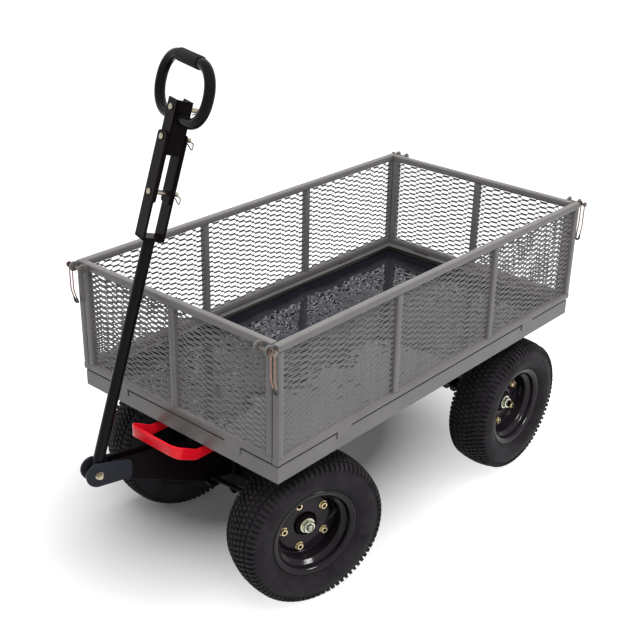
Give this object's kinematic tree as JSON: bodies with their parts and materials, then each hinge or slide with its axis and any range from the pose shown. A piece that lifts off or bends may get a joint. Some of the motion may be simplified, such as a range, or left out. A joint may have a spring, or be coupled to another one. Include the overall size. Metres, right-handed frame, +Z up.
{
  "type": "dump cart",
  "caption": "Four-wheel steel garden dump cart with mesh side panels, a tilting bed, knuckle steering, a folding-grip pull handle and a red release strap.",
  "frame": {"origin": "on the ground under the middle of the whole cart", "axes": "+Z up; the handle end faces -Y; +X is the cart's left side"},
  "size_m": [0.7632, 1.4764, 1.3118],
  "materials": {
    "grey_powder": "semi-gloss hammered grey powder coat",
    "floor_grey": "semi-gloss dark grey powder coat",
    "satin_black": "satin black powder coat",
    "gloss_black": "gloss black",
    "red_powder": "gloss red powder coat",
    "tyre_rubber": "matt",
    "grip_foam": "matt",
    "yellow_zinc": "yellow zinc plate",
    "bright_zinc": "bright zinc plate"
  },
  "bodies": {
    "chassis": {"chassis_frame": "satin_black", "front_axle_beam": "satin_black", "rear_axle": "satin_black", "dump_hinge_pin": "bright_zinc", "steering_bolts": "bright_zinc", "rear_axle_nuts": "yellow_zinc"},
    "bed": {"bed_rim": "grey_powder", "bed_underframe": "satin_black", "bed_floor": "floor_grey", "release_rod": "bright_zinc", "latch_ears": "grey_powder", "panel_frame_front": "grey_powder", "panel_mesh_front": "grey_powder", "panel_frame_rear": "grey_powder", "panel_mesh_rear": "grey_powder", "panel_frame_left": "grey_powder", "panel_mesh_left": "grey_powder", "panel_frame_right": "grey_powder", "panel_mesh_right": "grey_powder"},
    "release": {"release_handle": "red_powder"},
    "tongue": {"tongue": "satin_black", "clevis_bolt": "yellow_zinc"},
    "tie_rod_left": {"tie_rod_left": "satin_black"},
    "tie_rod_right": {"tie_rod_right": "satin_black"},
    "knuckle_left": {"knuckle_left": "satin_black", "axle_nut_front_left": "yellow_zinc"},
    "knuckle_right": {"knuckle_right": "satin_black", "axle_nut_front_right": "yellow_zinc"},
    "handle": {"handle_tube": "satin_black", "handle_fork": "satin_black", "hitch_pins": "bright_zinc", "hairpin_clips": "bright_zinc", "grip_bracket": "satin_black", "grip_loop": "satin_black", "grip_sleeve": "grip_foam"},
    "wheel_front_left": {"tyre_front_left": "tyre_rubber", "wheel_rim_front_left": "gloss_black", "wheel_hub_front_left": "satin_black", "lug_bolts_front_left": "yellow_zinc"},
    "wheel_front_right": {"tyre_front_right": "tyre_rubber", "wheel_rim_front_right": "gloss_black", "wheel_hub_front_right": "satin_black", "lug_bolts_front_right": "yellow_zinc"},
    "wheel_rear_left": {"tyre_rear_left": "tyre_rubber", "wheel_rim_rear_left": "gloss_black", "wheel_hub_rear_left": "satin_black", "lug_bolts_rear_left": "yellow_zinc"},
    "wheel_rear_right": {"tyre_rear_right": "tyre_rubber", "wheel_rim_rear_right": "gloss_black", "wheel_hub_rear_right": "satin_black", "lug_bolts_rear_right": "yellow_zinc"},
    "corner_pin_front_left": {"corner_pin_front_left": "bright_zinc"},
    "corner_bail_front_left": {"corner_bail_front_left": "bright_zinc"},
    "corner_pin_front_right": {"corner_pin_front_right": "bright_zinc"},
    "corner_bail_front_right": {"corner_bail_front_right": "bright_zinc"},
    "corner_pin_rear_left": {"corner_pin_rear_left": "bright_zinc"},
    "corner_bail_rear_left": {"corner_bail_rear_left": "bright_zinc"},
    "corner_pin_rear_right": {"corner_pin_rear_right": "bright_zinc"},
    "corner_bail_rear_right": {"corner_bail_rear_right": "bright_zinc"}
  },
  "joints": [
    {"name": "bed_tilt", "type": "hinge", "parent": "chassis", "child": "bed", "pos_m": [0, 0.57768, 0.387], "axis": [-1, 0, 0], "range_deg": [0, 50]},
    {"name": "release_pull", "type": "hinge", "parent": "bed", "child": "release", "pos_m": [0, -0.48932, 0.397], "axis": [-1, 0, 0], "range_deg": [0, 12]},
    {"name": "tongue_steer", "type": "hinge", "parent": "chassis", "child": "tongue", "pos_m": [0, -0.34732, 0.29], "axis": [0, 0, 1], "range_deg": [-11, 45]},
    {"name": "knuckle_left_steer", "type": "hinge", "parent": "chassis", "child": "knuckle_left", "pos_m": [0.153, -0.33232, 0.198], "axis": [0, 0, 1], "range_deg": [-11, 45]},
    {"name": "knuckle_right_steer", "type": "hinge", "parent": "chassis", "child": "knuckle_right", "pos_m": [-0.153, -0.33232, 0.198], "axis": [0, 0, 1], "range_deg": [-11, 45]},
    {"name": "tie_rod_left_pivot", "type": "hinge", "parent": "tongue", "child": "tie_rod_left", "pos_m": [0.00676, -0.42781, 0.2414], "axis": [0, 0, 1], "range_deg": [-45, 11]},
    {"name": "tie_rod_right_pivot", "type": "hinge", "parent": "tongue", "child": "tie_rod_right", "pos_m": [-0.05062, -0.41027, 0.2414], "axis": [0, 0, 1], "range_deg": [-45, 11]},
    {"name": "handle_swing", "type": "hinge", "parent": "tongue", "child": "handle", "pos_m": [-0.10818, -0.70115, 0.34], "axis": [0.9563, -0.2924, 0], "range_deg": [0, 115]},
    {"name": "wheel_front_left_spin", "type": "hinge", "parent": "knuckle_left", "child": "wheel_front_left", "pos_m": [0.26776, -0.3674, 0.198], "axis": [0.9563, -0.2924, 0], "continuous": true},
    {"name": "wheel_front_right_spin", "type": "hinge", "parent": "knuckle_right", "child": "wheel_front_right", "pos_m": [-0.26776, -0.29723, 0.198], "axis": [-0.9563, 0.2924, 0], "continuous": true},
    {"name": "wheel_rear_left_spin", "type": "hinge", "parent": "chassis", "child": "wheel_rear_left", "pos_m": [0.285, 0.48268, 0.198], "axis": [1, 0, 0], "continuous": true},
    {"name": "wheel_rear_right_spin", "type": "hinge", "parent": "chassis", "child": "wheel_rear_right", "pos_m": [-0.285, 0.48268, 0.198], "axis": [-1, 0, 0], "continuous": true},
    {"name": "corner_pin_front_left_draw", "type": "slide", "parent": "bed", "child": "corner_pin_front_left", "axis": [1, 0, 0], "range_m": [0, 0.045]},
    {"name": "corner_bail_front_left_swing", "type": "hinge", "parent": "corner_pin_front_left", "child": "corner_bail_front_left", "pos_m": [0.341, -0.56032, 0.765], "axis": [-1, 0, 0], "range_deg": [0, 110]},
    {"name": "corner_pin_front_right_draw", "type": "slide", "parent": "bed", "child": "corner_pin_front_right", "axis": [-1, 0, 0], "range_m": [0, 0.045]},
    {"name": "corner_bail_front_right_swing", "type": "hinge", "parent": "corner_pin_front_right", "child": "corner_bail_front_right", "pos_m": [-0.341, -0.56032, 0.765], "axis": [-1, 0, 0], "range_deg": [0, 110]},
    {"name": "corner_pin_rear_left_draw", "type": "slide", "parent": "bed", "child": "corner_pin_rear_left", "axis": [1, 0, 0], "range_m": [0, 0.045]},
    {"name": "corner_bail_rear_left_swing", "type": "hinge", "parent": "corner_pin_rear_left", "child": "corner_bail_rear_left", "pos_m": [0.341, 0.72568, 0.765], "axis": [1, 0, 0], "range_deg": [0, 110]},
    {"name": "corner_pin_rear_right_draw", "type": "slide", "parent": "bed", "child": "corner_pin_rear_right", "axis": [-1, 0, 0], "range_m": [0, 0.045]},
    {"name": "corner_bail_rear_right_swing", "type": "hinge", "parent": "corner_pin_rear_right", "child": "corner_bail_rear_right", "pos_m": [-0.341, 0.72568, 0.765], "axis": [1, 0, 0], "range_deg": [0, 110]}
  ],
  "couplings": [
    {"joint": "knuckle_left_steer", "follows": "tongue_steer", "ratio": 1},
    {"joint": "knuckle_right_steer", "follows": "tongue_steer", "ratio": 1},
    {"joint": "tie_rod_left_pivot", "follows": "tongue_steer", "ratio": -1},
    {"joint": "tie_rod_right_pivot", "follows": "tongue_steer", "ratio": -1}
  ]
}
